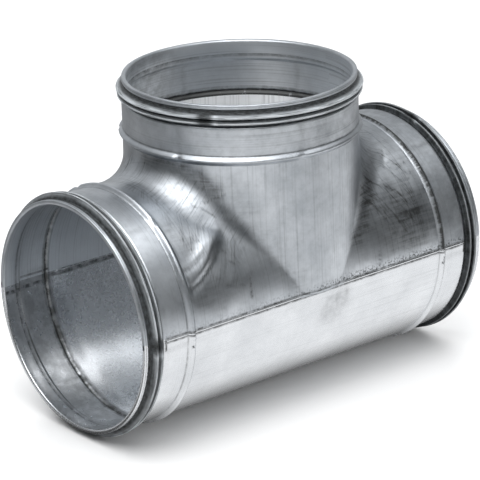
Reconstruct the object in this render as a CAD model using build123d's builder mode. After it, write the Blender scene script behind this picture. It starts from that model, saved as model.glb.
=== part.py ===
from build123d import *
import os
from math import asin, cos, degrees, radians, sin

# Equal duct tee pressed from galvanised sheet: a straight run along X with a branch up along Z.
# The origin is where the axis of the run crosses the axis of the branch.

# Sheet and main sizes, in millimetres.
sheet = 0.7
spigot_d = 159.0
body_step = 0.5
run_reach = 68.5
branch_reach = 57.0
saddle_radius = 24.0

# Rolled rim at each mouth, the hem behind it, and the seat pressed in for the rubber seal.
rim_length = 3.2
rim_drop = 0.6
rim_round = 1.4
hem_length = 9.8
seat_depth = 2.3
seat_end = 13.4
seat_ramp = 2.0

# Stop bead, six raised segments with a low place between each two.
bead_at = 37.5
bead_width = 6.4
bead_height = 2.6
bead_low = 1.7
bead_segments = 6
low_place = 4.6
run_bead_turn = 3.0
branch_bead_turn = 20.0

# Lap of the lower shell over the upper one along both seams.
lap_width = 5.0
lap_sheet = 0.4

# Rubber seal: a base strip in the seat with two lips that lean away from the mouth.
seal_end_gap = 0.2
seal_base = 1.4
lip_reach = 3.5
lip_lean = 3.6
lip_root = 2.1
lip_tip = 0.9
first_lip_at = 1.2
lip_pitch = 4.5
second_lip_drop = 0.6

# Radii and lengths that follow from the sizes above.
spigot_r = spigot_d / 2
run_r = spigot_r + body_step
half_run = spigot_r + run_reach
branch_top = run_r + branch_reach
rim_r = spigot_r - rim_drop
seat_r = spigot_r - seat_depth
seat_in = seat_r - sheet
hem_in = seat_in - sheet
spigot_in = spigot_r - sheet
collar_from = seat_end + seat_ramp
bead_from = bead_at - bead_width / 2
bead_to = bead_at + bead_width / 2
segment_arc = 360 / bead_segments - degrees(low_place / spigot_r)
groove_arc = segment_arc - degrees(2 * sheet / spigot_r)
lap_arc = 2 * degrees(asin(lap_width / 2 / run_r))


# Half-plane through the run's axis at an angle about X from +Y, measured from the left mouth.
def left_plane(angle):
    up = (0, -sin(radians(angle)), cos(radians(angle)))
    return Plane(origin=(-half_run, 0, 0), x_dir=(1, 0, 0), z_dir=up)


# The same from the right mouth, facing the other way.
def right_plane(angle):
    up = (0, sin(radians(angle)), -cos(radians(angle)))
    return Plane(origin=(half_run, 0, 0), x_dir=(-1, 0, 0), z_dir=up)


# Half-plane through the branch's axis at an angle about Z from +X, measured down from its mouth.
def branch_plane(angle):
    side = (sin(radians(angle)), -cos(radians(angle)), 0)
    return Plane(origin=(0, 0, branch_top), x_dir=(0, 0, -1), z_dir=side)


# Where each raised segment of a bead begins, and where the groove inside it begins.
pitch = 360 / bead_segments
half_gap = (pitch - segment_arc) / 2
half_land = (pitch - groove_arc) / 2
run_turns = [run_bead_turn + pitch * i for i in range(bead_segments)]
branch_turns = [branch_bead_turn + pitch * i for i in range(bead_segments)]
mouths = [(left_plane(90), Axis.X, run_r), (right_plane(90), Axis.X, run_r)]
mouths = mouths + [(branch_plane(0), Axis.Z, spigot_r)]

# Outside of the tee as a filled solid: run, branch and the saddle between them.
with BuildPart() as outside:
    with BuildSketch(Plane.YZ.offset(-half_run + bead_at)):
        Circle(run_r)
    extrude(amount=2 * (half_run - bead_at))
    with BuildSketch(Plane.XY):
        Circle(spigot_r)
    extrude(amount=branch_top - collar_from)
    saddle = outside.edges().filter_by(GeomType.BSPLINE)
    fillet(saddle, saddle_radius)
    # Rim, seat, plain spigot and the low form of the bead at each mouth.
    for plane, axis, inner_r in mouths:
        with BuildSketch(plane):
            with BuildLine():
                Line((0, 0), (0, rim_r - rim_round))
                JernArc((0, rim_r - rim_round), (0, 1), rim_round, -90)
                Line((rim_round, rim_r), (rim_length - rim_round / 2, rim_r))
                JernArc((rim_length - rim_round / 2, rim_r), (1, 0), rim_round / 2, -90)
                Line((rim_length, rim_r - rim_round / 2), (rim_length, seat_r))
                Line((rim_length, seat_r), (seat_end, seat_r))
                Line((seat_end, seat_r), (collar_from, spigot_r))
                Line((collar_from, spigot_r), (bead_from, spigot_r))
                crest = (bead_at, spigot_r + bead_low)
                Spline((bead_from, spigot_r), crest, (bead_to, inner_r), tangents=((1, 0.3), (1, -0.3)))
                Line((bead_to, inner_r), (bead_to, 0))
                Line((bead_to, 0), (0, 0))
            make_face()
        revolve(axis=axis)
    # Raised segments of the beads.
    for turns, plane_at, axis in (
        (run_turns, left_plane, Axis.X),
        (run_turns, right_plane, Axis.X),
        (branch_turns, branch_plane, Axis.Z),
    ):
        for turn in turns:
            start = turn + half_gap
            with BuildSketch(plane_at(start)):
                with BuildLine():
                    foot = spigot_r + bead_low * 0.1
                    left_foot = (bead_at - bead_width * 0.36, foot)
                    right_foot = (bead_at + bead_width * 0.36, foot)
                    crest = (bead_at, spigot_r + bead_height)
                    Spline(left_foot, crest, right_foot, tangents=((0.45, 1), (0.45, -1)))
                    Line(right_foot, left_foot)
                make_face()
            revolve(axis=axis, revolution_arc=segment_arc)

# Hollow of the tee as a filled solid, one sheet inside the outside.
with BuildPart() as hollow:
    with BuildSketch(Plane.YZ.offset(-half_run + bead_at)):
        Circle(run_r - sheet)
    extrude(amount=2 * (half_run - bead_at))
    with BuildSketch(Plane.XY):
        Circle(spigot_in)
    extrude(amount=branch_top - collar_from)
    saddle = hollow.edges().filter_by(GeomType.BSPLINE)
    fillet(saddle, saddle_radius + sheet)
    # Mouth, hem, seat and plain bore at each end.
    for plane, axis, inner_r in mouths:
        with BuildSketch(plane):
            with BuildLine():
                Polyline((-1, 0), (-1, hem_in + rim_round), (0, hem_in + rim_round))
                JernArc((0, hem_in + rim_round), (0, -1), rim_round, 90)
                Polyline(
                    (rim_round, hem_in),
                    (hem_length, hem_in),
                    (hem_length, seat_in),
                    (seat_end, seat_in),
                    (collar_from, spigot_in),
                    (bead_at, spigot_in),
                    (bead_at + sheet, inner_r - sheet),
                    (bead_to, inner_r - sheet),
                    (bead_to, 0),
                    (-1, 0),
                )
            make_face()
        revolve(axis=axis)
    # Groove inside each raised segment of the beads.
    for turns, plane_at, axis in (
        (run_turns, left_plane, Axis.X),
        (run_turns, right_plane, Axis.X),
        (branch_turns, branch_plane, Axis.Z),
    ):
        for turn in turns:
            start = turn + half_land
            with BuildSketch(plane_at(start)):
                with BuildLine():
                    foot = spigot_in - sheet / 2
                    left_foot = (bead_at - bead_width * 0.3, foot)
                    right_foot = (bead_at + bead_width * 0.3, foot)
                    crest = (bead_at, spigot_in + bead_height)
                    Spline(left_foot, crest, right_foot, tangents=((0.45, 1), (0.45, -1)))
                    Line(right_foot, left_foot)
                make_face()
            revolve(axis=axis, revolution_arc=groove_arc)

# The sheet of the whole tee, before it is parted along the seams.
with BuildPart() as tee:
    add(outside.part)
    add(hollow.part, mode=Mode.SUBTRACT)

# Upper shell: half of the run with the branch drawn up out of it.
with BuildPart() as upper_shell:
    add(tee.part)
    split(bisect_by=Plane.XY, keep=Keep.TOP)
upper_shell.part.label = "upper_shell"

# Lower shell: the other half of the run, lapped over the upper shell's edges by thin bands.
with BuildPart() as lower_shell:
    add(tee.part)
    split(bisect_by=Plane.XY, keep=Keep.BOTTOM)
    for side in (0, 180):
        with BuildSketch(left_plane(side - lap_arc / 2)):
            with BuildLine():
                Polyline(
                    (bead_to, run_r),
                    (bead_to, run_r + lap_sheet),
                    (2 * half_run - bead_to, run_r + lap_sheet),
                    (2 * half_run - bead_to, run_r),
                    close=True,
                )
            make_face()
        revolve(axis=Axis.X, revolution_arc=lap_arc)
        for plane_at in (left_plane, right_plane):
            with BuildSketch(plane_at(side - lap_arc / 2)):
                with BuildLine():
                    Polyline(
                        (collar_from, spigot_r),
                        (collar_from, spigot_r + lap_sheet),
                        (bead_from, spigot_r + lap_sheet),
                        (bead_from, spigot_r),
                        close=True,
                    )
                make_face()
            revolve(axis=Axis.X, revolution_arc=lap_arc)
lower_shell.part.label = "lower_shell"

# Section of the seal, as distances from the mouth and radii.
base_top = seat_r + seal_base
lip_top = spigot_r + lip_reach
first = rim_length + first_lip_at
second = first + lip_pitch
seal_section = [
    (rim_length, seat_r),
    (rim_length, base_top),
    (first, base_top),
    (first + lip_lean, lip_top),
    (first + lip_lean + lip_tip, lip_top - lip_tip / 2),
    (first + lip_root, base_top),
    (second, base_top),
    (second + lip_lean, lip_top - second_lip_drop),
    (second + lip_lean + lip_tip, lip_top - second_lip_drop - lip_tip / 2),
    (second + lip_root, base_top),
    (seat_end - seal_end_gap, base_top),
    (seat_end - seal_end_gap, seat_r),
]

with BuildPart() as left_seal:
    with BuildSketch(left_plane(90)):
        with BuildLine():
            Polyline(*seal_section, close=True)
        make_face()
    revolve(axis=Axis.X)
left_seal.part.label = "left_seal"

with BuildPart() as right_seal:
    with BuildSketch(right_plane(90)):
        with BuildLine():
            Polyline(*seal_section, close=True)
        make_face()
    revolve(axis=Axis.X)
right_seal.part.label = "right_seal"

with BuildPart() as branch_seal:
    with BuildSketch(branch_plane(0)):
        with BuildLine():
            Polyline(*seal_section, close=True)
        make_face()
    revolve(axis=Axis.Z)
branch_seal.part.label = "branch_seal"

os.makedirs("parts", exist_ok=True)
export_step(upper_shell.part, "parts/upper_shell.step")
export_step(lower_shell.part, "parts/lower_shell.step")
export_step(left_seal.part, "parts/left_seal.step")
export_step(right_seal.part, "parts/right_seal.step")
export_step(branch_seal.part, "parts/branch_seal.step")
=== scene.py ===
import math

import bpy
import numpy as np
from mathutils import Matrix, Vector


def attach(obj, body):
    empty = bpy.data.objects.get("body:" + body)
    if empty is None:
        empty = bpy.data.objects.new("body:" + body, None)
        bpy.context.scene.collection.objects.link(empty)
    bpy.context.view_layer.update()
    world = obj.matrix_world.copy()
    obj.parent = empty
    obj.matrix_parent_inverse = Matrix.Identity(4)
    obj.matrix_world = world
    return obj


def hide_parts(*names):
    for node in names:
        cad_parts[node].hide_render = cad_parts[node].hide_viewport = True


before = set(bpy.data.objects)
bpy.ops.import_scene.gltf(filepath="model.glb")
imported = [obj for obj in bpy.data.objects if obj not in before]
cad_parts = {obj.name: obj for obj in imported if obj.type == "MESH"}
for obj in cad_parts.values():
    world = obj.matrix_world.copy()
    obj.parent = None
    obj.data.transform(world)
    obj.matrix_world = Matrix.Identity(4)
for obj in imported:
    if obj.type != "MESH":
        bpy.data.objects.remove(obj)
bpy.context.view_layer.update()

# Duct tee of galvanised sheet. Shapes are worked out in millimetres, and meshes are made in metres.
MM = 0.001

# Driving sizes of the part's source, in millimetres and degrees.
SHEET = 0.7
SPIGOT_R = 79.5
BODY_STEP = 0.5
RUN_REACH = 68.5
BRANCH_REACH = 57.0
RIM_LENGTH = 3.2
RIM_DROP = 0.6
HEM_LENGTH = 9.8
SEAT_DEPTH = 2.3
SEAT_END = 13.4
SEAT_RAMP = 2.0
BEAD_AT = 37.5
BEAD_WIDTH = 6.4
BEAD_HEIGHT = 2.6
BEAD_SEGMENTS = 6
LOW_PLACE = 4.6
RUN_BEAD_TURN = 3.0
BRANCH_BEAD_TURN = 20.0

# Radii and lengths that follow from them.
RUN_R = SPIGOT_R + BODY_STEP
HALF_RUN = SPIGOT_R + RUN_REACH
BRANCH_TOP = RUN_R + BRANCH_REACH
RIM_R = SPIGOT_R - RIM_DROP
SEAT_R = SPIGOT_R - SEAT_DEPTH
SEAT_IN = SEAT_R - SHEET
HEM_IN = SEAT_IN - SHEET
SPIGOT_IN = SPIGOT_R - SHEET
COLLAR_FROM = SEAT_END + SEAT_RAMP
BEAD_FROM = BEAD_AT - BEAD_WIDTH / 2
BEAD_TO = BEAD_AT + BEAD_WIDTH / 2
BEAD_PITCH = 360.0 / BEAD_SEGMENTS
BODY_END = HALF_RUN - BEAD_TO

# Relief that only the scene has: the beads' low places, the strips across the collars that go with them,
# the groove round each rim, the lap and weld along the seams, and the swell of the branch's front.
BEAD_LOW = 1.5
STRIP_DEPTH = 0.10
STRIP_HALF = 2.2
RIM_GROOVE_AT = 1.5
RIM_GROOVE_HALF = 0.25
RIM_GROOVE_DEPTH = 0.22
LAP_RISE = 0.38
LAP_TOP = 1.5
WELD_Z = 2.5
WELD_RISE = 0.40
WELD_HALF = 0.55
FRONT_SWELL = 2.7

# Heights of the seam's dark band inside the body and inside the ends, and a height that no seam shows at.
SEAM_BODY_Z = -2.4
SEAM_END_Z = -5.0
NO_SEAM = 50.0

# Rows and columns of the grids.
BEAD_ROWS = 15
FOOT_ROWS = 8
ROUND_ROWS_OUT = 23
ROUND_ROWS_IN = 11
BODY_ROWS_OUT = 33
BODY_ROWS_IN = 9
SADDLE_COLS = 480
BRANCH_COLS = 320
UPPER_COLS = 151
LAP_COLS = 28
LOWER_COLS_OUT = 234
LOWER_COLS_IN = 181
SEAL_COLS = 360


def smooth(a, b, t):
    """0 up to a, 1 from b on, and a smooth step between."""
    t = np.clip((np.asarray(t, float) - a) / (b - a), 0.0, 1.0)
    return t * t * (3.0 - 2.0 * t)


def hill(t, at, half):
    """1 at the middle, falling off smoothly on both sides."""
    return np.exp(-((t - at) / half) ** 2)


def stacked(x, y, z):
    """Three arrays or numbers, spread to one shape, as points."""
    return np.stack(np.broadcast_arrays(x, y, z), -1)


class Skin:
    """Grids of quads gathered into one mesh, with attributes on its points."""

    def __init__(self):
        self.points, self.faces, self.count = [], [], 0
        self.attributes = {}

    def grid(self, points, flip=False, closed=False, **attributes):
        rows, cols = points.shape[:2]
        index = self.count + np.arange(rows * cols).reshape(rows, cols)
        if closed:
            index = np.concatenate([index, index[:, :1]], 1)
        a, b = index[:-1, :-1], index[:-1, 1:]
        c, d = index[1:, 1:], index[1:, :-1]
        quads = np.stack([a, d, c, b] if flip else [a, b, c, d], -1)
        self.faces.append(quads.reshape(-1, 4))
        self.points.append(points.reshape(-1, 3))
        for name, value in attributes.items():
            value = np.asarray(value, float)
            shape = (rows, cols, 3) if value.ndim == 3 else (rows, cols)
            self.attributes.setdefault(name, []).append((self.count, np.broadcast_to(value, shape)))
        self.count += rows * cols

    def make(self, name, material, nodes):
        points = np.concatenate(self.points) * MM
        mesh = bpy.data.meshes.new(name)
        mesh.from_pydata(points.tolist(), [], np.concatenate(self.faces).tolist())
        for key, parts in self.attributes.items():
            vector = parts[0][1].ndim == 3
            data = np.zeros((self.count, 3) if vector else self.count)
            for start, value in parts:
                flat = value.reshape(-1, 3) if vector else value.reshape(-1)
                data[start:start + len(flat)] = flat
            layer = mesh.attributes.new(key, "FLOAT_VECTOR" if vector else "FLOAT", "POINT")
            layer.data.foreach_set("vector" if vector else "value", data.ravel())
        mesh.shade_smooth()
        mesh.materials.append(material)
        obj = bpy.data.objects.new(name, mesh)
        bpy.context.scene.collection.objects.link(obj)
        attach(obj, "root")
        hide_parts(*nodes)


# The most that a rounding takes of the line on either side of its corner.
ROUND_SHARE = 0.48


def rounded(corners, steps):
    """A line through (distance, radius, rounding) corners, each rounded off in so many points."""
    p = np.array([c[:2] for c in corners], float)
    out = [p[0]]
    for i in range(1, len(p) - 1):
        back, ahead = p[i - 1] - p[i], p[i + 1] - p[i]
        la, lb = np.linalg.norm(back), np.linalg.norm(ahead)
        cut = min(corners[i][2], ROUND_SHARE * la, ROUND_SHARE * lb)
        start, end = p[i] + back / la * cut, p[i] + ahead / lb * cut
        for t in np.linspace(0, 1, steps):
            out.append((1 - t) ** 2 * start + 2 * t * (1 - t) * p[i] + t * t * end)
    out.append(p[-1])
    return np.array(out)


# Corners of a mouth's profile, from beside the bead out over the rim and back inside.
# Those at the collar's middle and at the smudge only bound the rows there.
COLLAR_MIDDLE = 27.0
SMUDGE_FROM = 17.0
SMUDGE_TO = 18.0
BESIDE_BEAD = BEAD_FROM - 0.8
MOUTH_CORNERS = [
    (BESIDE_BEAD, SPIGOT_R, 0), (COLLAR_MIDDLE, SPIGOT_R, 0.5), (SMUDGE_TO, SPIGOT_R, 0.1),
    (SMUDGE_FROM, SPIGOT_R, 0.4), (COLLAR_FROM, SPIGOT_R, 0.8), (SEAT_END, SEAT_R, 0.6),
    (RIM_LENGTH, SEAT_R, 0.3), (RIM_LENGTH, RIM_R, 0.6), (RIM_GROOVE_AT + RIM_GROOVE_HALF, RIM_R, 0.1),
    (RIM_GROOVE_AT, RIM_R - RIM_GROOVE_DEPTH, 0.1), (RIM_GROOVE_AT - RIM_GROOVE_HALF, RIM_R, 0.1),
    (0.0, RIM_R, 1.1), (0.0, HEM_IN, 1.3), (HEM_LENGTH - 0.1, HEM_IN, 0.25), (HEM_LENGTH, SEAT_IN, 0.2),
    (SEAT_END, SEAT_IN, 0.7), (COLLAR_FROM, SPIGOT_IN, 0.7), (COLLAR_MIDDLE, SPIGOT_IN, 0.5),
    (BESIDE_BEAD, SPIGOT_IN, 0),
]
MOUTH_STEPS = 3

# How full the bead's round is outside and inside, and the inside's share of its height.
BEAD_FULLNESS_OUT = 0.85
BEAD_FULLNESS_IN = 3
BEAD_SHARE_IN = 0.6

# Painted shade of a mouth: at the bead's two feet, in the rim's groove, at the collar's edge beside the
# seal, behind the hem, further in, and in the bead's groove inside.
FOOT_SHADE = (0.55, 0.35)
FOOT_SHADE_HALF = 0.07
GROOVE_SHADE = 0.75
COLLAR_EDGE_SHADE = 0.5
HEM_SHADE = 0.5
HEM_SHADE_FROM = HEM_LENGTH - 0.05
HEM_SHADE_TO = HEM_LENGTH + 0.4
WITHIN_SHADE = 0.08
BEAD_IN_SHADE = (0.35, 0.45)


def mouth_grime(distance, radius, outside):
    """Painted shade at a point of a mouth's profile."""
    if outside:
        in_groove = abs(distance - RIM_GROOVE_AT) < 0.3 and 0.1 < RIM_R - radius < 0.25
        at_edge = COLLAR_FROM - 0.6 < distance < COLLAR_FROM
        return GROOVE_SHADE * in_groove + COLLAR_EDGE_SHADE * at_edge
    behind_hem = HEM_SHADE_FROM < distance < HEM_SHADE_TO
    return HEM_SHADE * behind_hem + WITHIN_SHADE * (distance > HEM_SHADE_TO)


def end_profile(body_r):
    """Distance from the mouth, radius, share of the bead, 1 on the outside and painted shade, for each row.

    The rows go from the body out to the mouth and back in to the body.
    """
    s = np.linspace(BEAD_TO, BEAD_FROM, BEAD_ROWS)
    part = (s - BEAD_FROM) / BEAD_WIDTH
    wave = 0.5 - 0.5 * np.cos(2 * math.pi * part)
    step = (body_r - SPIGOT_R) * smooth(0.4, 0.9, part)
    feet = FOOT_SHADE[0] * hill(part, 0.02, FOOT_SHADE_HALF)
    feet = feet + FOOT_SHADE[1] * hill(part, 0.98, FOOT_SHADE_HALF)
    rows = list(zip(s, SPIGOT_R + step, wave ** BEAD_FULLNESS_OUT, np.ones(BEAD_ROWS), feet))
    outside = True
    for distance, radius in rounded(MOUTH_CORNERS, MOUTH_STEPS):
        outside = outside and radius >= HEM_IN + 0.01
        rows.append((distance, radius, 0.0, float(outside), mouth_grime(distance, radius, outside)))
    pinched = wave ** BEAD_FULLNESS_IN
    grime = BEAD_IN_SHADE[0] + BEAD_IN_SHADE[1] * pinched
    inner = list(zip(s, SPIGOT_IN + step, BEAD_SHARE_IN * pinched, np.zeros(BEAD_ROWS), grime))
    return np.array(rows + inner[::-1]).T


def near_line(points, line):
    """Distance of each point from a line of points, and how far along the line it is, from 0 to 1."""
    line = np.array(line, float)
    best = np.full(points.shape[:-1], 1e6)
    along = np.zeros(points.shape[:-1])
    for i, (a, b) in enumerate(zip(line[:-1], line[1:])):
        t = np.clip((points - a) @ (b - a) / ((b - a) @ (b - a)), 0, 1)
        gap = np.linalg.norm(points - a - t[..., None] * (b - a), axis=-1)
        along = np.where(gap < best, (i + t) / (len(line) - 1), along)
        best = np.minimum(best, gap)
    return best, along


def turned(line):
    """The same line half a turn about the branch, on the opposite shoulder."""
    return [(-x, -y, z) for x, y, z in line]


# Lines of the folds that the press left on the shoulders, in millimetres.
RIDGE_A = [
    (-74.6, -54.8, 58.4), (-80.7, -59.9, 53.0), (-88.4, -64.1, 47.9), (-97.5, -67.9, 42.3),
    (-104.6, -70.4, 38.0),
]
RIDGE_B = [
    (-68.6, -55.7, 58.5), (-75.6, -60.8, 51.9), (-85.0, -65.8, 45.4), (-94.4, -70.0, 38.7),
    (-102.1, -72.2, 34.5),
]
CREASE_A = [
    (-107.2, -68.7, 41.0), (-101.5, -68.7, 40.9), (-94.7, -67.5, 42.9), (-88.6, -65.3, 46.2),
    (-82.1, -61.6, 51.0),
]
CREASE_B = [
    (-108.0, -75.0, 29.6), (-104.1, -74.4, 29.5), (-98.5, -73.6, 31.2), (-91.9, -71.9, 35.1),
    (-85.9, -69.7, 39.1),
]
FOLD_A = [(92.3, -39.7, 69.5), (87.7, -46.7, 65.0), (83.1, -50.6, 61.9)]
FOLD_B = [(76.2, -61.0, 51.7), (82.2, -63.4, 48.7), (86.6, -66.7, 44.2)]
FOLD_C = [(96.0, -63.7, 48.4), (101.8, -65.5, 46.0), (108.2, -66.6, 45.4)]

# Height, width and line of each fold, and how high it still is at the ends of its line.
WRINKLES = [
    (1.6, 3.8, RIDGE_A), (2.2, 4.6, RIDGE_B), (-1.0, 1.7, CREASE_A), (-0.75, 1.9, CREASE_B),
    (-0.55, 2.2, FOLD_A), (-0.55, 2.2, FOLD_B), (0.45, 2.2, FOLD_C),
    (0.35, 2.2, turned(RIDGE_A)), (-0.35, 1.8, turned(CREASE_B)),
    (-0.35, 2.0, turned(FOLD_A)), (0.30, 2.0, turned(FOLD_B)),
]
FOLD_END_SHARE = 0.25

# Weights of a point's place that tell which side of the sheet is outside.
OUTWARD = (0.2, 1, 1)

# Slight waves of the drawn sheet: direction, length and height of each.
WAVES = [
    ((0.8, 0.3, 0.5), 31.0, 0.10), ((0.3, -0.7, 0.6), 23.0, 0.08),
    ((-0.6, 0.5, 0.7), 17.0, 0.05), ((0.9, 0.1, -0.4), 12.0, 0.03),
]

# Dark rubs and scratches on the upper shell, with painted shade along the creases and folds: darkness,
# width and line of each.
MARKS_AND_CREASE_SHADE = [
    (0.55, 0.9, CREASE_A), (0.55, 0.9, CREASE_B), (0.5, 1.0, FOLD_A), (0.6, 1.4, FOLD_B),
    (0.5, 1.0, [(-58.0, -75.9, 25.2), (-59.2, -78.9, 13.1)]),
    (0.4, 0.9, [(53.4, -78.3, 16.6), (52.9, -79.7, 6.3)]),
    (0.45, 0.8, [(-69.6, -46.2, 72.1), (-63.8, -49.5, 74.9), (-58.8, -53.8, 77.6)]),
    (0.35, 0.8, [(-78.1, -41.2, 71.5), (-71.1, -47.9, 68.1), (-66.9, -52.8, 63.5)]),
    (0.35, 0.8, [(69.0, -74.3, 29.5), (102.7, -76.3, 23.9)]),
    (0.3, 0.8, [(68.8, -77.5, 19.7), (108.7, -79.9, 13.8)]),
    (0.4, 1.0, turned(CREASE_B)), (0.3, 1.0, turned(FOLD_A)),
]

# Fine scratches across the left shoulder's dark band, each a step on from the one before.
FINE = 0.7
BAND_SCRATCH = np.array([(-72.0, -44.5, 72.5), (-64.0, -49.5, 74.0), (-57.5, -54.5, 76.0)])
BAND_STEP = np.array([(3.3, -3.0, -4.4), (3.3, -3.0, -4.2), (3.3, -3.0, -4.0)])
for k in range(-2, 4):
    MARKS_AND_CREASE_SHADE.append((0.3 + 0.05 * (k % 3), FINE, BAND_SCRATCH + k * BAND_STEP))

# Stray scratches on both front flanks and the back left one, three in front for each one at the back.
STRAYS = 40
chance = np.random.default_rng(7)
for k in range(STRAYS):
    x = chance.uniform(58, 105) * (-1) ** k
    tilt = math.radians(chance.uniform(10, 58))
    length = chance.uniform(6, 24)
    way = chance.uniform(-0.9, 0.9)
    bend = chance.uniform(-0.004, 0.004)
    front = -1 if k % 4 < 3 else 1
    t = length * np.array([-0.5, 0.0, 0.5])
    angle = tilt + (math.sin(way) * t + bend * t ** 2) / RUN_R
    stray = stacked(x + math.cos(way) * t, front * RUN_R * np.cos(angle), RUN_R * np.sin(angle))
    MARKS_AND_CREASE_SHADE.append((chance.uniform(0.2, 0.42), FINE, stray))

# Broad painted shade beside the branch's front panel, along the crotch and on the left shoulder, standing
# for dark reflections there.
PAINTED_SHADE_BANDS = [
    (0.4, 7.0, [
        (61.0, -57.5, 59.5), (56.3, -62.6, 51.2), (50.8, -67.6, 43.1), (44.0, -71.9, 35.2),
        (37.2, -75.3, 27.1)]),
    (0.36, 5.0, [(57.1, -59.9, 57.5), (51.9, -63.5, 52.5), (45.7, -68.2, 44.5)]),
    (0.42, 5.5, [
        (-79.6, 2.8, 94.2), (-78.5, -11.7, 95.3), (-74.6, -27.7, 94.8), (-68.5, -40.5, 87.6),
        (-63.1, -48.9, 80.1)]),
    (0.14, 15.0, [(-83.1, -22.0, 81.7), (-80.8, -39.5, 71.8)]),
    (0.2, 8.0, [(-80.1, 24.4, 83.6), (-79.0, 20.1, 87.8)]),
    (0.17, 10.0, [(-101.9, -49.8, 62.5), (-95.6, -61.9, 50.5)]),
    (0.12, 10.0, [
        (-53.9, -59.0, 77.0), (-47.4, -64.7, 59.7), (-40.8, -70.3, 42.1), (-31.8, -75.4, 27.3),
        (-20.1, -79.5, 11.2)]),
]

# Rubs on the lower shell.
SCUFFS = [
    (0.22, 2.4, [(7.0, -79.8, -5.0), (5.0, -77.5, -20.0)]),
    (0.26, 2.2, [(14.0, -79.9, -4.0), (12.0, -78.2, -17.0)]),
    (0.24, 2.4, [(22.0, -79.9, -3.5), (20.0, -79.0, -13.0)]),
    (0.18, 9.0, [(16.0, -79.5, -9.0), (8.0, -78.0, -16.0)]),
    (0.2, 3.0, [(-40.0, 78.5, -15.0), (-38.0, 74.0, -30.0)]),
    (0.15, 5.0, [(50.0, 72.0, -34.0), (56.0, 62.0, -50.0)]),
]
LINE_STRENGTH = 1.35


def dark_lines(points, lines):
    """The darkest of the dark lines at each point: scratches, rubs and painted shade alike."""
    mark = np.zeros(points.shape[:-1])
    for dark, width, line in lines:
        gap, _ = near_line(points, line)
        mark = np.maximum(mark, LINE_STRENGTH * dark * hill(gap, 0, width))
    return mark


def wrinkled(points, amount):
    """The grid pushed out and in along its normals by the folds and by a slight waviness."""
    down = np.gradient(points, axis=0)
    over = np.roll(points, -1, 1) - np.roll(points, 1, 1)
    normal = np.cross(down, over)
    normal /= np.maximum(np.linalg.norm(normal, axis=-1), 1e-9)[..., None]
    normal *= np.sign((normal * points * OUTWARD).sum(-1))[..., None]
    push = np.zeros(points.shape[:-1])
    for height, width, line in WRINKLES:
        gap, along = near_line(points, line)
        taper = FOLD_END_SHARE + (1 - FOLD_END_SHARE) * np.sin(math.pi * along)
        push += height * hill(gap, 0, width) * taper
    x, y, z = np.moveaxis(points, -1, 0)
    for (wx, wy, wz), length, height in WAVES:
        push += height * np.sin((wx * x + wy * np.abs(y) + wz * z) * 2 * math.pi / length + length)
    return points + normal * (push * amount)[..., None]


def bead_share(degrees, turn):
    """1 on a bead's raised segments and 0 on its low places, and a strip that is 1 on the low places."""
    half = BEAD_PITCH / 2
    off = np.radians(np.abs((degrees - turn + half) % BEAD_PITCH - half)) * SPIGOT_R
    return smooth(LOW_PLACE / 2 - 1.0, LOW_PLACE / 2 + 0.9, off), np.exp(-(off / STRIP_HALF) ** 4)


def lap_height(z):
    """How far the lower shell's lap and its weld stand out, by height above the seam."""
    lap = LAP_RISE * smooth(-9.0, -1.0, z) * (1 - smooth(LAP_TOP, LAP_TOP + 0.4, z))
    ridge = WELD_RISE * np.exp(-((z - WELD_Z) / WELD_HALF) ** 4)
    return lap + ridge


# Grime of the strips across the collars and of the smudge where the lap begins; painted shade inside the
# lower shell's ends;
# darker on the far collar; painted shade inside the branch's back, in its bead's groove and on the front of
# its collar.
STRIP_GRIME = 0.12
SMUDGE_AT = 16.6
SMUDGE_GRIME = 0.85
LOWER_IN_SHADE = 0.3
FAR_COLLAR_DARKENING = 0.22
BRANCH_BACK_SHADE = 0.25
BRANCH_GROOVE_SHADE = 1.6
BRANCH_FRONT_SHADE = 0.2
# Painted shade over the far bead's highlight, and how satin the upper shell's collars are.
FAR_BEAD_SHADE = 1.3
NEAR_SATIN = 0.5
FAR_SATIN = 1.4
BRANCH_SATIN = 1.0


def mouth(body_r, degrees, bead_turn):
    """Distance, radius, hump, outside, painted shade with the strips' grime, and collar mark of a mouth, by
    rows and angles.
    """
    s, base, hump, outside, profile_shade = [row[:, None] for row in end_profile(body_r)]
    share, strip = bead_share(degrees, bead_turn)
    collar = (s > COLLAR_FROM + 0.6) & (s < BEAD_FROM)
    bead = BEAD_LOW + (BEAD_HEIGHT - BEAD_LOW) * share
    radius = base + hump * bead - STRIP_DEPTH * (collar * strip)
    return s, radius, hump, outside, profile_shade + STRIP_GRIME * strip * collar, collar


def run_end(skin, side, degrees, lower):
    """The upper or the lower half of a mouth of the run, at side -1 or 1."""
    s, radius, hump, outside, grime, collar = mouth(RUN_R, degrees, RUN_BEAD_TURN)
    turn = np.radians(degrees)
    z = RUN_R * np.sin(turn)
    on_lap = (outside > 0.5) & (s > COLLAR_FROM + 0.3)
    satin, rubs = 0.0, 0.0
    if lower:
        radius = radius + on_lap * lap_height(z)
        smudge = (np.abs(s - SMUDGE_AT) < 0.7) & (outside > 0.5) & (np.abs(z + 1.0) < 3.6)
        # Grime of the smudge, and painted shade inside the lower shell's ends.
        grime = grime + SMUDGE_GRIME * smudge + LOWER_IN_SHADE * (1 - outside)
    elif side < 0:
        satin = NEAR_SATIN
    else:
        satin = FAR_SATIN
        # Darker on the far collar, and painted shade over the far bead.
        grime = grime + FAR_COLLAR_DARKENING * collar * outside
        rubs = FAR_BEAD_SHADE * hump * outside
    points = stacked(side * (HALF_RUN - s), radius * np.cos(turn), radius * np.sin(turn))
    skin.grid(points, flip=side < 0, flow=stacked(turn * SPIGOT_R, s, 0.0) * MM,
              weld=np.where(on_lap, z - WELD_Z, NO_SEAM) * MM,
              weld_in=np.where(outside > 0.5, NO_SEAM, z - SEAM_END_Z) * MM,
              satin=satin, inside=1.0 - outside, grime=grime, rubs=rubs)


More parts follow.
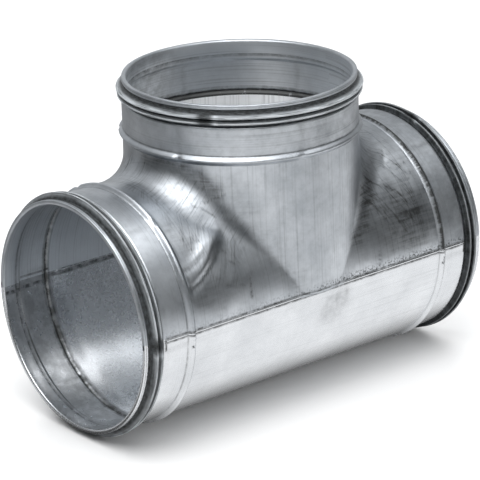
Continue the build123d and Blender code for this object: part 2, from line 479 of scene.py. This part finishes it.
def branch_end(skin, degrees):
    """The branch's mouth."""
    s, radius, _, outside, grime, collar = mouth(SPIGOT_R, degrees, BRANCH_BEAD_TURN)
    turn = np.radians(degrees)
    # Painted shade inside the branch's back and in its bead's groove, and on the front of its collar.
    within = BRANCH_BACK_SHADE * smooth(75, 100, degrees) * (1 - smooth(200, 230, degrees))
    within = within + BRANCH_GROOVE_SHADE * smooth(BEAD_AT - 1.0, BEAD_AT + 0.4, s)
    grime = grime + within * (1 - outside) + BRANCH_FRONT_SHADE * collar * outside * hill(degrees, 280, 35)
    points = stacked(radius * np.cos(turn), radius * np.sin(turn), BRANCH_TOP - s)
    skin.grid(points, closed=True, flow=stacked(turn * SPIGOT_R, s, 0.0) * MM, weld=NO_SEAM * MM,
              weld_in=NO_SEAM * MM, satin=BRANCH_SATIN, inside=1.0 - outside, grime=grime)


# Radius of the saddle at the crotch, on the flanks and at the front and back.
CROTCH_RADIUS = 16.0
FLANK_RADIUS = 26.0
FRONT_RADIUS = 8.0
# How softly the saddle's round ends where the branch is as wide as the run.
SADDLE_SOFTNESS = 9.0


def saddle_radius(turn):
    """Radius of the saddle, by the angle about the branch."""
    fold = np.degrees(np.arcsin(np.abs(np.sin(turn))))
    to_flank, to_front = smooth(0, 38, fold), smooth(46, 78, fold)
    radius = CROTCH_RADIUS + (FLANK_RADIUS - CROTCH_RADIUS) * to_flank
    return radius + (FRONT_RADIUS - FLANK_RADIUS) * to_front


def body_edge(turn):
    """Place along the run and angle about it of the upper body's edge, by the angle about the branch."""
    eighth = (np.degrees(turn) % 360) / 45.0
    spans = [eighth <= 1, eighth <= 3, eighth <= 5, eighth <= 7]
    x = BODY_END * np.select(spans, [1, 2 - eighth, -1, eighth - 6], 1)
    angle = np.select(spans, [90 - 90 * eighth, 0, 90 * (eighth - 4) + 90, 180], 90 + 90 * (8 - eighth))
    return x, np.radians(angle)


def saddle_points(turn, off):
    """Rows of points down the branch's foot, round the saddle and over the run's body to its edge."""
    run_r, spigot_r = RUN_R + off, SPIGOT_R + off
    cos, sin = np.cos(turn), np.sin(turn)
    branch_r = spigot_r + FRONT_SWELL * sin ** 6
    # The saddle's round is about the line where run and branch meet when both are its radius larger.
    rho = saddle_radius(turn) - off
    far_b, far_r = branch_r + rho, run_r + rho
    height = far_r ** 2 - (far_b * sin) ** 2
    height = np.sqrt(0.5 * (height + np.sqrt(height ** 2 + SADDLE_SOFTNESS ** 4)))
    centre = stacked(far_b * cos, far_b * sin, height)
    to_branch = -stacked(cos, sin, 0.0)
    to_run = -stacked(0.0, far_b * sin, height)
    to_run /= np.linalg.norm(to_run, axis=-1)[:, None]
    angle = np.arccos(np.clip((to_branch * to_run).sum(-1), -1, 1))
    rows = []
    top = BRANCH_TOP - BEAD_TO
    for t in np.linspace(0, 1, FOOT_ROWS + 1)[:-1]:
        r = spigot_r + (branch_r - spigot_r) * t
        rows.append(stacked(r * cos, r * sin, top + (height - top) * t))
    for t in np.linspace(0, 1, ROUND_ROWS_OUT if off >= 0 else ROUND_ROWS_IN):
        a = np.sin((1 - t) * angle) / np.sin(angle)
        b = np.sin(t * angle) / np.sin(angle)
        rows.append(centre + rho[:, None] * (a[:, None] * to_branch + b[:, None] * to_run))
    foot_x, foot_y, foot_z = rows[-1].T
    foot_t = np.arctan2(foot_z, foot_y)
    proud = np.hypot(foot_y, foot_z) - run_r
    edge_x, edge_t = body_edge(turn)
    for t in np.linspace(0, 1, (BODY_ROWS_OUT if off >= 0 else BODY_ROWS_IN) + 1)[1:]:
        a = foot_t + (edge_t - foot_t) * t
        r = run_r + proud * (1 - t) ** 2
        rows.append(stacked(foot_x + (edge_x - foot_x) * t, r * np.cos(a), r * np.sin(a)))
    return np.array(rows)


def saddle(skin, off):
    """The branch's foot, the saddle and the upper half of the run's body, moved out by off."""
    inside = off < 0
    turn = np.arange(SADDLE_COLS) * 2 * math.pi / SADDLE_COLS
    points = saddle_points(turn, off)
    x, y, z = np.moveaxis(points, -1, 0)
    last = (np.arange(len(points)) / (len(points) - 1.0))[:, None]
    panel = smooth(0.80, 0.97, np.abs(np.sin(turn))) * smooth(4, 20, z)
    # Satin on the front and back panels, on the right shoulder and where the left one is brightest.
    satin = np.maximum(panel, 0.6 * smooth(25, 75, x) * smooth(5, 14, z))
    satin = np.maximum(satin, 0.7 * hill(x, -82, 20) * hill(y, -31, 22))
    # Wide painted shade on the flanks.
    rub = 0.72 * hill(x, 84, 32) * hill(z, 30, 22) * smooth(7, 12, z)
    rub += 0.3 * hill(x, -92, 24) * hill(z, 22, 10)
    rub += 0.2 * hill(x, 98, 28) * hill(z, 68, 14)
    length = np.cumsum(np.linalg.norm(np.diff(points, axis=0, prepend=points[:1]), axis=-1), axis=0)
    draw = stacked(turn * SPIGOT_R, length, 0.0) * MM
    drawn = (1 - inside) * (1 - panel) * smooth(0.1, 0.22, last) * (1 - smooth(0.72, 0.95, last))
    if not inside:
        points = wrinkled(points, (1 - panel) * smooth(0, 0.12, last) * (1 - smooth(0.93, 1.0, last)))
    x, z = points[..., 0], points[..., 2]
    # A painted highlight inside the branch: a pale patch on its back wall.
    degrees = np.degrees(turn)
    painted_lens = smooth(8, 30, degrees) * (1 - smooth(72, 98, degrees)) * smooth(70, 85, z)
    # Scratches and rubs, with painted shade, on the outside of the shoulders.
    rubs = 0.0 if inside else np.maximum(dark_lines(points, MARKS_AND_CREASE_SHADE), rub + dark_lines(points, PAINTED_SHADE_BANDS))
    # The inside attribute also carries the painted highlight, as 1 plus its share.
    skin.grid(points, flip=not inside, closed=True, flow=stacked(z, x, 0.0) * MM, draw=draw, drawn=drawn,
              weld=(NO_SEAM if inside else z - WELD_Z) * MM,
              weld_in=(z - SEAM_BODY_Z if inside else NO_SEAM) * MM,
              satin=satin, inside=inside * (1 + painted_lens), rubs=rubs)


# Angles about the run of the shells' columns, close together over the heights of the lower shell's lap.
LAP_COLS_FROM = 3.6
LAP_COLS_TO = -3.2
BELOW_LAP = 2.8
on_lap = np.degrees(np.arcsin(np.linspace(LAP_COLS_FROM, LAP_COLS_TO, LAP_COLS) / RUN_R))
below = np.linspace(180 + BELOW_LAP, 360 - BELOW_LAP, LOWER_COLS_OUT)
lower_degrees = np.concatenate([180 - on_lap, below, 360 + on_lap[::-1]])
lower_degrees_in = np.linspace(180, 360, LOWER_COLS_IN)
upper_degrees = np.linspace(0, 180, UPPER_COLS)
branch_degrees = np.arange(BRANCH_COLS) * 360.0 / BRANCH_COLS

# Places of the lower body's rows along the run, closer together at its ends.
END_SPAN = 10.0
END_ROWS = np.linspace(0, END_SPAN, 9)[:-1]
MIDDLE_ROWS = np.linspace(END_SPAN - BODY_END, BODY_END - END_SPAN, 71)
# The flare inside the lower shell: how far out at the bead, how far in next to it, and where each ends.
FLARE_OUT = 0.62
FLARE_IN = -0.53
FLARE_TURN = 13.0
FLARE_END = 40.0
TROUGH_END_SHADE = 0.4


def trough(skin, off):
    """The lower half of the run's body, with the lap and weld along its edges on the outside."""
    inside = off < 0
    x = np.concatenate([END_ROWS - BODY_END, MIDDLE_ROWS, BODY_END - END_ROWS[::-1]])[:, None]
    depth = BODY_END - np.abs(x)
    turn = np.radians(lower_degrees_in if inside else lower_degrees)
    if inside:
        flare = FLARE_OUT + (FLARE_IN - FLARE_OUT) * smooth(0, FLARE_TURN, depth)
        radius = RUN_R + off + flare - FLARE_IN * smooth(FLARE_TURN, FLARE_END, depth)
    else:
        radius = RUN_R + off + lap_height(RUN_R * np.sin(turn))
    points = stacked(x, radius * np.cos(turn), radius * np.sin(turn))
    z = points[..., 2]
    # Inside, painted shade along the ends; outside, the rubs.
    grime = TROUGH_END_SHADE * (depth < 1.5) if inside else dark_lines(points, SCUFFS)
    skin.grid(points, flip=inside, flow=stacked(x, turn * RUN_R, 0.0) * MM,
              weld=(NO_SEAM if inside else z - WELD_Z) * MM,
              weld_in=(z - SEAM_BODY_Z if inside else NO_SEAM) * MM,
              satin=0.0, inside=float(inside), grime=grime)


def nodes_of(name):
    """A new material, its nodes and links, and its shader."""
    material = bpy.data.materials.new(name)
    material.use_nodes = True
    tree = material.node_tree
    return material, tree.nodes, tree.links, tree.nodes["Principled BSDF"]


class Wires:
    """Short ways to add and join shader nodes."""

    def __init__(self, nodes, links):
        self.nodes, self.links = nodes, links

    def add(self, kind, **values):
        n = self.nodes.new(kind)
        for key, value in values.items():
            if key in n.inputs:
                n.inputs[key].default_value = value
            else:
                setattr(n, key, value)
        return n

    def put(self, socket, value):
        if isinstance(value, bpy.types.NodeSocket):
            self.links.new(value, socket)
        else:
            socket.default_value = value

    def data(self, name, output="Fac"):
        return self.add("ShaderNodeAttribute", attribute_name=name).outputs[output]

    def noise(self, vector, scale, detail=4.0, rough=0.6, stretch=None):
        if stretch:
            turn = self.add("ShaderNodeMapping")
            turn.inputs["Scale"].default_value = stretch
            self.links.new(vector, turn.inputs["Vector"])
            vector = turn.outputs["Vector"]
        n = self.add("ShaderNodeTexNoise", Scale=scale, Detail=detail, Roughness=rough)
        self.links.new(vector, n.inputs["Vector"])
        return n.outputs["Fac"]

    def span(self, value, low, high, to_low=0.0, to_high=1.0):
        n = self.add("ShaderNodeMapRange")
        for name, v in (("From Min", low), ("From Max", high), ("To Min", to_low), ("To Max", to_high)):
            n.inputs[name].default_value = v
        self.links.new(value, n.inputs["Value"])
        return n.outputs["Result"]

    def math(self, operation, a, b):
        n = self.add("ShaderNodeMath", operation=operation)
        self.put(n.inputs[0], a)
        self.put(n.inputs[1], b)
        return n.outputs[0]

    def ramp(self, value, *stops):
        n = self.add("ShaderNodeValToRGB")
        line = n.color_ramp.elements
        line[0].position, line[1].position = stops[0][0], stops[-1][0]
        for at, _ in stops[1:-1]:
            line.new(at)
        for i, (_, colour) in enumerate(stops):
            line[i].color = (colour, colour, colour, 1) if isinstance(colour, float) else (*colour, 1)
        self.links.new(value, n.inputs["Fac"])
        return n.outputs["Color"]

    def mix(self, factor, a, b):
        n = self.add("ShaderNodeMix", data_type="RGBA")
        self.put(n.inputs["Factor"], factor)
        for socket, value in ((n.inputs[6], a), (n.inputs[7], b)):
            self.put(socket, value if isinstance(value, bpy.types.NodeSocket) else (*value, 1))
        return n.outputs[2]


# Colours of the grime and painted shade, and of the painted highlight inside the branch.
SOIL_AND_SHADE = (0.045, 0.046, 0.044)
LENS_HIGHLIGHT = (0.93, 0.945, 0.96)


def steel(name, dark, light, rough_from, rough_to, lined, within, lined_in):
    """Galvanised sheet: clouded zinc, brush lines, rubs, grime, painted shade and a painted highlight, and
    the weld's dark edges and heat spots.
    """
    material, nodes, links, shader = nodes_of(name)
    w = Wires(nodes, links)
    place = w.add("ShaderNodeTexCoord").outputs["Object"]
    flow = w.data("flow", "Vector")
    inside = w.data("inside")
    cloud = w.noise(place, 34.0, 6.0, 0.62)
    fine = w.noise(place, 330.0, 3.0, 0.7)
    patches = w.noise(place, 130.0, 4.0, 0.7)
    brush = w.noise(flow, 1.0, 3.0, 0.6, (14, 600, 1))
    lines = w.noise(flow, 1.0, 3.0, 0.6, (7, 700, 1))
    tone = w.ramp(cloud, (0.3, dark), (0.72, light))
    # The inside takes a tone of its own; on the plain shell it is darker than the outside, a painted shade
    # inside the tube.
    tone = w.mix(inside, tone, w.ramp(cloud, (0.3, within), (0.72, tuple(1.12 * c for c in within))))
    # A painted highlight: above 1, the inside attribute marks the pale patch inside the branch, which is
    # mixed to a near-white tone and made mostly not metallic.
    painted_lens = w.span(inside, 1.0, 2.0)
    tone = w.mix(painted_lens, tone, LENS_HIGHLIGHT)
    line_dark = w.span(lines, 0.52, 0.74, 0.0, lined)
    line_dark = w.math("MULTIPLY", line_dark, w.span(inside, 0.0, 1.0, 1.0, lined_in))
    # Weld on the outside: a dark uneven line above and below a bright ridge, and heat spots over it.
    weld = w.data("weld")
    edges = w.ramp(w.span(weld, -0.005, 0.005), (0.27, 0.0), (0.34, 0.7), (0.42, 0.6), (0.46, 0.0),
                   (0.55, 0.0), (0.6, 0.85), (0.65, 0.8), (0.75, 0.0))
    uneven = w.span(w.noise(place, 240.0, 3.0), 0.32, 0.62, 0.25, 1.0)
    edges = w.math("MULTIPLY", edges, uneven)
    heat = w.ramp(w.span(weld, 0.0, 0.008), (0.05, 0.0), (0.2, 1.0), (0.45, 0.8), (0.85, 0.0))
    heat = w.math("MULTIPLY", heat, w.span(w.noise(place, 640.0, 1.0), 0.5, 0.62, 0.0, 0.8))
    axes = w.add("ShaderNodeSeparateXYZ")
    links.new(place, axes.inputs["Vector"])
    heat = w.math("MULTIPLY", heat, w.span(axes.outputs["X"], -0.06, 0.03, 0.3, 1.0))
    # Seam on the inside: a dark band.
    joint = w.span(w.data("weld_in"), -0.005, 0.005)
    joint = w.ramp(joint, (0.26, 0.0), (0.38, 0.85), (0.6, 0.85), (0.72, 0.0))
    joint = w.math("MULTIPLY", joint, uneven)
    # Grime, with painted shade in grooves, creases and inside the mouths, broken up by patches.
    grime = w.math("MULTIPLY", w.data("grime"), w.span(patches, 0.34, 0.6, 0.35, 1.15))
    # Scratches, rubs and painted shade on the drawn shoulders and the far bead, broken into scratches along
    # the run.
    rubs = w.math("MULTIPLY", w.data("rubs"), w.span(patches, 0.34, 0.62, 0.65, 1.15))
    scratches = w.noise(flow, 1.0, 3.0, 0.6, (420, 30, 1))
    rubs = w.math("MULTIPLY", rubs, w.span(scratches, 0.32, 0.68, 0.6, 1.35))
    grime = w.math("MAXIMUM", grime, rubs)
    soil_and_shade = w.math("MAXIMUM", w.math("MAXIMUM", edges, joint), w.math("MAXIMUM", grime, heat))
    soil_and_shade = w.math("ADD", soil_and_shade, line_dark)
    mottle = w.span(w.noise(place, 210.0, 4.0, 0.7), 0.45, 0.75, 0.0, 0.5 * lined)
    soil_and_shade = w.math("ADD", soil_and_shade, w.math("MULTIPLY", mottle, w.span(inside, 0.0, 1.0, 1.0, 0.0)))
    # Scratches of the draw, from the branch out over the shoulders.
    scored = w.noise(w.data("draw", "Vector"), 1.0, 3.0, 0.65, (620, 26, 0))
    scored = w.math("MULTIPLY", scored, w.data("drawn"))
    soil_and_shade = w.math("ADD", soil_and_shade, w.span(scored, 0.5, 0.74, 0.0, 0.5))
    soil_and_shade = w.math("MINIMUM", soil_and_shade, 0.93)
    # The zinc's tone, darkened by grime, marks and painted shade.
    links.new(w.mix(soil_and_shade, tone, SOIL_AND_SHADE), shader.inputs["Base Color"])
    rough = w.span(w.data("satin"), 0.0, 1.4, rough_from, rough_to)
    rough = w.math("ADD", rough, w.span(fine, 0.3, 0.7, -0.03, 0.04))
    rough = w.math("ADD", rough, w.span(soil_and_shade, 0.1, 0.9, 0.0, 0.16))
    links.new(rough, shader.inputs["Roughness"])
    height = w.math("ADD", brush, w.math("MULTIPLY", cloud, 0.2))
    height = w.math("ADD", height, w.math("MULTIPLY", scored, 1.6))
    bump = w.add("ShaderNodeBump", Distance=0.0004)
    links.new(w.span(inside, 0.0, 1.0, 0.08, 0.03), bump.inputs["Strength"])
    links.new(height, bump.inputs["Height"])
    links.new(bump.outputs["Normal"], shader.inputs["Normal"])
    metal = w.span(inside, 0.0, 1.0, 1.0, 0.92)
    links.new(w.math("MULTIPLY", metal, w.span(painted_lens, 0.0, 1.0, 1.0, 0.3)), shader.inputs["Metallic"])
    return material


# Colours of the rubber, from dark to light, and of the painted highlight on its lips.
RUBBER_DARK = (0.010, 0.011, 0.011)
RUBBER_LIGHT = (0.075, 0.083, 0.089)
RUBBER_HIGHLIGHT = (0.57, 0.605, 0.635)


def rubber(name):
    """Black rubber with a painted highlight along the lips' edges."""
    material, nodes, links, shader = nodes_of(name)
    w = Wires(nodes, links)
    flow = w.data("flow", "Vector")
    grain = w.noise(w.add("ShaderNodeTexCoord").outputs["Object"], 900.0, 3.0)
    streak = w.noise(flow, 1.0, 3.0, 0.6, (1800, 45, 1))
    blotch = w.noise(flow, 1.0, 4.0, 0.7, (900, 260, 1))
    tone = w.ramp(blotch, (0.38, RUBBER_DARK), (0.7, RUBBER_LIGHT))
    bloom = w.math("MULTIPLY", w.data("bloom"), w.span(streak, 0.36, 0.6, 0.25, 1.0))
    links.new(w.mix(bloom, tone, RUBBER_HIGHLIGHT), shader.inputs["Base Color"])
    bump = w.add("ShaderNodeBump", Strength=0.15, Distance=0.0003)
    links.new(grain, bump.inputs["Height"])
    links.new(bump.outputs["Normal"], shader.inputs["Normal"])
    links.new(w.span(grain, 0.2, 0.8, 0.42, 0.55), shader.inputs["Roughness"])
    shader.inputs["Specular IOR Level"].default_value = 0.35
    return material


drawn_zinc = steel(
    "galvanised_drawn", dark=(0.41, 0.438, 0.47), light=(0.61, 0.64, 0.675), rough_from=0.32, rough_to=0.45,
    lined=0.27, within=(0.66, 0.69, 0.72), lined_in=1.2)
plain_zinc = steel(
    "galvanised_plain", dark=(0.62, 0.64, 0.665), light=(0.74, 0.76, 0.785), rough_from=0.26, rough_to=0.3,
    lined=0.12, within=(0.53, 0.55, 0.575), lined_in=0.4)
black = rubber("seal_rubber")

# Upper shell: outside, inside and three mouths.
upper = Skin()
saddle(upper, 0.0)
saddle(upper, -SHEET)
branch_end(upper, branch_degrees)
run_end(upper, -1, upper_degrees, False)
run_end(upper, 1, upper_degrees, False)
upper.make("upper_shell_skin", drawn_zinc, ["upper_shell"])

# Lower shell: outside, inside and two mouths.
lower = Skin()
trough(lower, 0.0)
trough(lower, -SHEET)
run_end(lower, -1, lower_degrees, True)
run_end(lower, 1, lower_degrees, True)
lower.make("lower_shell_skin", plain_zinc, ["lower_shell"])

# Section of a seal, as distance from the mouth, radius and rounding of each corner.
SEAL_CORNERS = [
    (3.6, SEAT_R, 0), (RIM_LENGTH + 0.05, 77.9, 0.2), (3.5, 78.3, 0.3), (5.2, 78.2, 0.3), (5.6, 78.9, 0.4),
    (7.0, 82.75, 0.35), (7.9, 82.95, 0.35), (8.6, 82.3, 0.3), (7.8, 79.3, 0.4), (8.7, 78.8, 0.3),
    (9.4, 79.1, 0.3), (11.2, 82.05, 0.3), (12.0, 82.35, 0.3), (12.8, 81.8, 0.3), (12.7, 79.2, 0.4),
    (13.15, 78.6, 0.15), (13.15, SEAT_R, 0),
]
SEAL_STEPS = 4
# Where the second lip begins and its painted highlight ends, and the half width and the lump of the glued
# splice.
SECOND_LIP_FROM = 9.2
SECOND_GLINT_TO = 12.4
SPLICE_HALF = 3.6
SPLICE_LUMP = 0.35


def seal(name, node, place, splice, sheen, face):
    """A ring with two lips, a splice at an angle, and a painted highlight on the lips' edges, a share of
    the face and beside the splice.
    """
    degrees = np.arange(SEAL_COLS) * 360.0 / SEAL_COLS
    turn = np.radians(degrees)
    line = rounded(SEAL_CORNERS, SEAL_STEPS)
    s, r = line[:, :1], line[:, 1:]
    off = (degrees - splice + 180) % 360 - 180
    joint = np.exp(-(off / SPLICE_HALF) ** 4)
    lump = SPLICE_LUMP * np.sin(off * 1.7) * joint
    tip = smooth(79.5, 82.0, r)
    # The lips' painted highlight, standing for the light that their edges mirror.
    first = face * smooth(79.6, 81.2, r) + (1 - face) * smooth(82.2, 82.7, r)
    second = 0.9 * smooth(81.6, 82.1, r) * (s < SECOND_GLINT_TO)
    bloom = sheen * np.where(s < SECOND_LIP_FROM, first, second) * (1 - joint)
    bloom = bloom + 0.5 * hill(off, 5.2, 1.1) * tip
    skin = Skin()
    skin.grid(place(s, r - np.abs(lump) * tip, turn), closed=True, flip=node != "right_seal",
              flow=stacked(s, turn * SPIGOT_R, 0.0) * MM, bloom=bloom)
    skin.make(name, black, [node])


def left_place(s, r, turn):
    return stacked(s - HALF_RUN, r * np.cos(turn), r * np.sin(turn))


def right_place(s, r, turn):
    return stacked(HALF_RUN - s, r * np.cos(turn), r * np.sin(turn))


def branch_place(s, r, turn):
    return stacked(r * np.cos(turn), r * np.sin(turn), BRANCH_TOP - s)


seal("left_seal_ring", "left_seal", left_place, splice=178.6, sheen=0.75, face=0.25)
seal("right_seal_ring", "right_seal", right_place, splice=104.0, sheen=0.4, face=0.1)
seal("branch_seal_ring", "branch_seal", branch_place, splice=214.0, sheen=0.9, face=0.8)


def sheet(name, corners, material):
    """A flat sheet of the stage, in metres."""
    mesh = bpy.data.meshes.new(name)
    mesh.from_pydata(corners, [], [(0, 1, 2, 3)])
    mesh.materials.append(material)
    obj = bpy.data.objects.new(name, mesh)
    bpy.context.scene.collection.objects.link(obj)
    return obj


# Floor, pale to the camera, with the light and dark bands of a studio where the metal mirrors it.
FLOOR_Z = -0.0832
FLOOR_HALF = 6.0
paper, nodes, links, shader = nodes_of("floor_paper")
shader.inputs["Base Color"].default_value = (0.92, 0.92, 0.92, 1)
shader.inputs["Roughness"].default_value = 0.9
shader.inputs["Specular IOR Level"].default_value = 0.1
w = Wires(nodes, links)
spot = w.add("ShaderNodeSeparateXYZ")
links.new(w.add("ShaderNodeTexCoord").outputs["Object"], spot.inputs["Vector"])
bands = w.ramp(w.span(spot.outputs["Y"], -0.5, 0.5), (0.02, 0.92), (0.25, 0.94), (0.4, 0.92), (0.43, 0.9),
               (0.465, 0.2), (0.485, 0.07), (0.515, 0.07), (0.535, 0.2), (0.57, 0.65), (0.7, 0.5),
               (0.9, 0.28))
glow = w.add("ShaderNodeEmission", Strength=1.25)
links.new(bands, glow.inputs["Color"])
either = w.add("ShaderNodeMixShader")
links.new(w.add("ShaderNodeLightPath").outputs["Is Glossy Ray"], either.inputs["Fac"])
links.new(shader.outputs["BSDF"], either.inputs[1])
links.new(glow.outputs["Emission"], either.inputs[2])
links.new(either.outputs["Shader"], nodes["Material Output"].inputs["Surface"])
floor = sheet("floor", [
    (-FLOOR_HALF, -FLOOR_HALF, FLOOR_Z), (FLOOR_HALF, -FLOOR_HALF, FLOOR_Z),
    (FLOOR_HALF, FLOOR_HALF, FLOOR_Z), (-FLOOR_HALF, FLOOR_HALF, FLOOR_Z)], paper)

# A dark card at the front right, seen only in reflections.
cloth, _, _, shader = nodes_of("flag_cloth")
shader.inputs["Base Color"].default_value = (0.02, 0.022, 0.022, 1)
shader.inputs["Roughness"].default_value = 1.0
flag = sheet("flag", [
    (0.26, -0.62, -0.06), (1.5, -0.3, -0.06), (1.5, -0.3, 0.5), (0.26, -0.62, 0.16)], cloth)
flag.visible_camera = flag.visible_diffuse = flag.visible_shadow = False


def lamp(name, place, aim, size, power):
    """A soft area light, in metres and watts."""
    light = bpy.data.lights.new(name, "AREA")
    light.shape = "RECTANGLE"
    light.size, light.size_y = size
    light.energy = power
    obj = bpy.data.objects.new(name, light)
    bpy.context.scene.collection.objects.link(obj)
    obj.location = place
    obj.rotation_mode = "QUATERNION"
    obj.rotation_quaternion = (Vector(aim) - Vector(place)).to_track_quat("-Z", "Y")
    return obj


# The last two light the floor and aren't seen in the metal.
lamp("overhead", (-0.42, -0.25, 0.95), (0, 0, 0), (1.0, 1.0), 11.0)
lamp("overhead_right", (0.38, -0.24, 0.95), (0, 0, 0), (0.42, 0.7), 1.25)
lamp("near_card", (0.42, -0.95, 0.55), (-0.1, 0, 0.03), (0.5, 0.6), 0.5)
lamp("behind", (0.9, 1.5, 1.5), (0.7, 1.1, -0.08), (2.0, 1.0), 26).visible_glossy = False
lamp("front", (0.5, -1.3, 0.5), (0, -0.15, -0.08), (1.2, 0.5), 6).visible_glossy = False

# World: a dome that is dark below and pale above, and a pale wall behind.
DOME_LOW = (0.04, 0.045, 0.045)
DOME_HIGH = (0.62, 0.63, 0.64)
WALL_COLOUR = (0.6, 0.61, 0.62)
WALL_DIRECTION = (0.45, 0.89, 0.0)
world = bpy.data.worlds.new("studio")
bpy.context.scene.world = world
world.use_nodes = True
nodes, links = world.node_tree.nodes, world.node_tree.links
w = Wires(nodes, links)
way = w.add("ShaderNodeTexCoord").outputs["Generated"]
split = w.add("ShaderNodeSeparateXYZ")
links.new(way, split.inputs["Vector"])
dome = w.ramp(split.outputs["Z"], (0.5, DOME_LOW), (0.68, DOME_HIGH))
toward = w.add("ShaderNodeVectorMath", operation="DOT_PRODUCT")
toward.inputs[1].default_value = WALL_DIRECTION
links.new(way, toward.inputs[0])
wall = w.ramp(toward.outputs["Value"], (0.25, 0.0), (0.8, WALL_COLOUR))
both = w.add("ShaderNodeMix", data_type="RGBA", blend_type="LIGHTEN")
both.inputs["Factor"].default_value = 1.0
links.new(dome, both.inputs["A"])
links.new(wall, both.inputs["B"])
background = nodes["Background"]
links.new(both.outputs["Result"], background.inputs["Color"])
background.inputs["Strength"].default_value = 1.0

# Camera at the photograph's viewing angle, in degrees, millimetres and pixels.
AZIMUTH = math.radians(-39.343)
ELEVATION = math.radians(20.076)
ROLL = math.radians(-1.562)
DISTANCE = 1834.458
PAN = -2.937
RISE = 15.638
FOCAL_PIXELS = 2676.985
FRAME_PIXELS = 480.0
SENSOR = 36.0
back = Vector((
    math.sin(AZIMUTH) * math.cos(ELEVATION), -math.cos(AZIMUTH) * math.cos(ELEVATION), math.sin(ELEVATION)))
right = Vector((math.cos(AZIMUTH), math.sin(AZIMUTH), 0.0))
up = back.cross(right)
across = right * math.cos(ROLL) + up * math.sin(ROLL)
upward = up * math.cos(ROLL) - right * math.sin(ROLL)
place = (back * DISTANCE + across * PAN + upward * RISE) * MM
lens = bpy.data.cameras.new("camera")
lens.sensor_width = SENSOR
lens.lens = FOCAL_PIXELS * SENSOR / FRAME_PIXELS
lens.clip_end = 100.0
camera = bpy.data.objects.new("camera", lens)
bpy.context.scene.collection.objects.link(camera)
camera.matrix_world = Matrix.Translation(place) @ Matrix((across, upward, back)).transposed().to_4x4()
bpy.context.scene.camera = camera
bpy.context.scene.view_settings.view_transform = "Standard"
